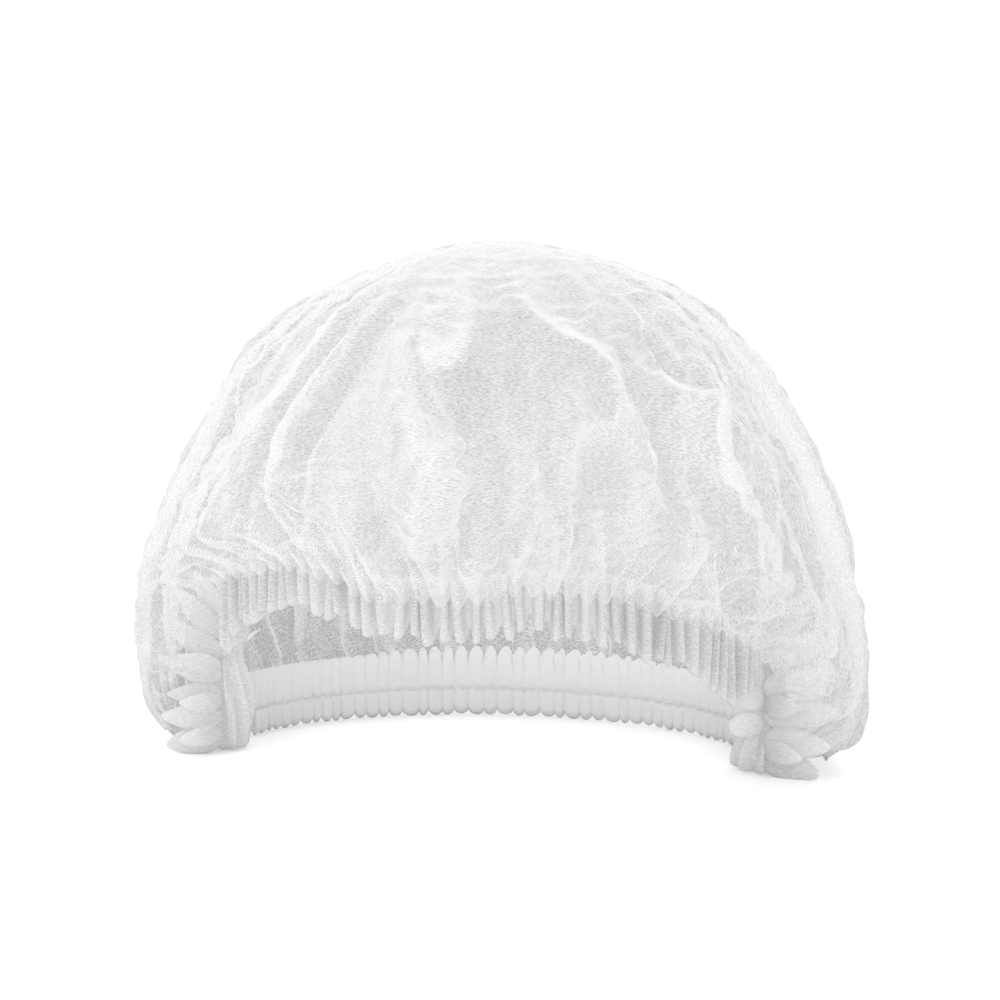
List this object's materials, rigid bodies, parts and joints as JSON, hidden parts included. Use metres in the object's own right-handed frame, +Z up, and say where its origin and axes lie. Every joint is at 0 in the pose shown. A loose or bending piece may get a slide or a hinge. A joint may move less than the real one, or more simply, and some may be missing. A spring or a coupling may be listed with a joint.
{
  "type": "disposable hair cover cap",
  "caption": "Pleated non-woven hair cover cap with a gathered elastic mouth, a puffed crown and bunched welded ends.",
  "frame": {"origin": "below the middle of the whole cap, on the surface that it rests on", "axes": "+Z up, -Y towards the raised front edge that goes over the forehead, +X to the right seen from the front"},
  "size_m": [0.2612, 0.2134, 0.1786],
  "materials": {
    "sheet": "thin white translucent spun-bond non-woven sheet",
    "hem": "gathered white non-woven, many layers thick"
  },
  "bodies": {
    "root": {"crown": "sheet", "front_hem": "hem", "back_hem": "hem", "left_end_gather": "hem", "right_end_gather": "hem"}
  },
  "joints": []
}
